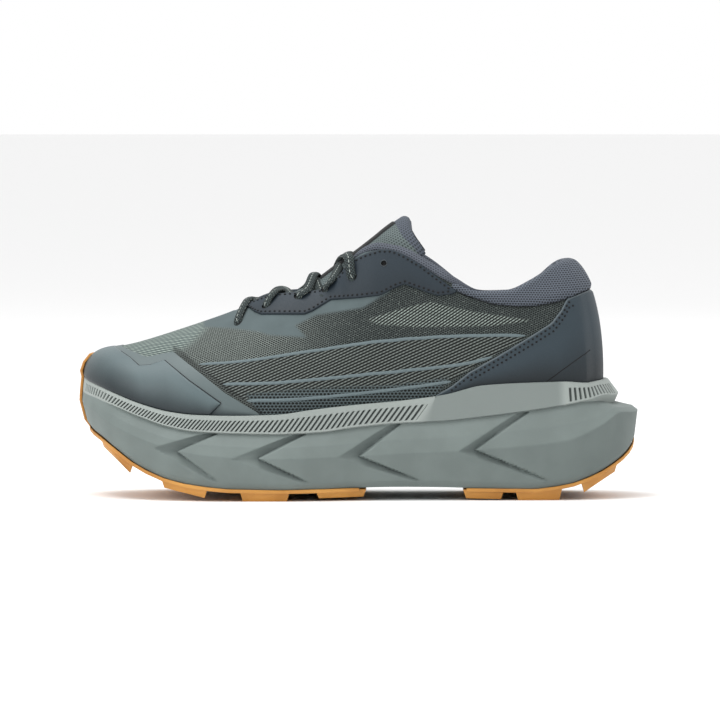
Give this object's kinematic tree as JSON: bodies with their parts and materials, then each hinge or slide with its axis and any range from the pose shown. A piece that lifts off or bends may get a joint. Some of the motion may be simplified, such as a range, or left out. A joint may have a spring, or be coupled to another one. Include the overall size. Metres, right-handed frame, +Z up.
{
  "type": "trail running shoe",
  "caption": "Low-cut trail running shoe for the left foot: thick sculpted foam sole, gum rubber lugs, mesh upper with toe cap, eyestays and heel counter, padded tongue and collar, crossed lace.",
  "frame": {"origin": "Middle of the shoe's footprint box, on the floor under the lugs.", "axes": "+X runs from toe to heel, +Y from the outer (lateral) side to the inner (medial) side, +Z up."},
  "size_m": [0.3, 0.114, 0.1491],
  "materials": {
    "foam": "matt moulded foam, grey green",
    "gum_rubber": "satin gum rubber",
    "padding": "soft knit lining over foam",
    "upper_mesh": "engineered mesh with light threads",
    "toe_film": "welded film, satin",
    "overlay_film": "welded film, satin",
    "tongue_mesh": "spacer mesh over foam",
    "lace": "round woven lace with light flecks"
  },
  "bodies": {
    "root": {"midsole": "foam", "outsole_forefoot": "gum_rubber", "outsole_heel": "gum_rubber", "insole": "padding", "upper": "upper_mesh", "toe_cap": "toe_film", "heel_counter": "overlay_film", "eyestay_lateral": "overlay_film", "eyestay_medial": "overlay_film", "tongue": "tongue_mesh", "lace": "lace"}
  },
  "joints": []
}
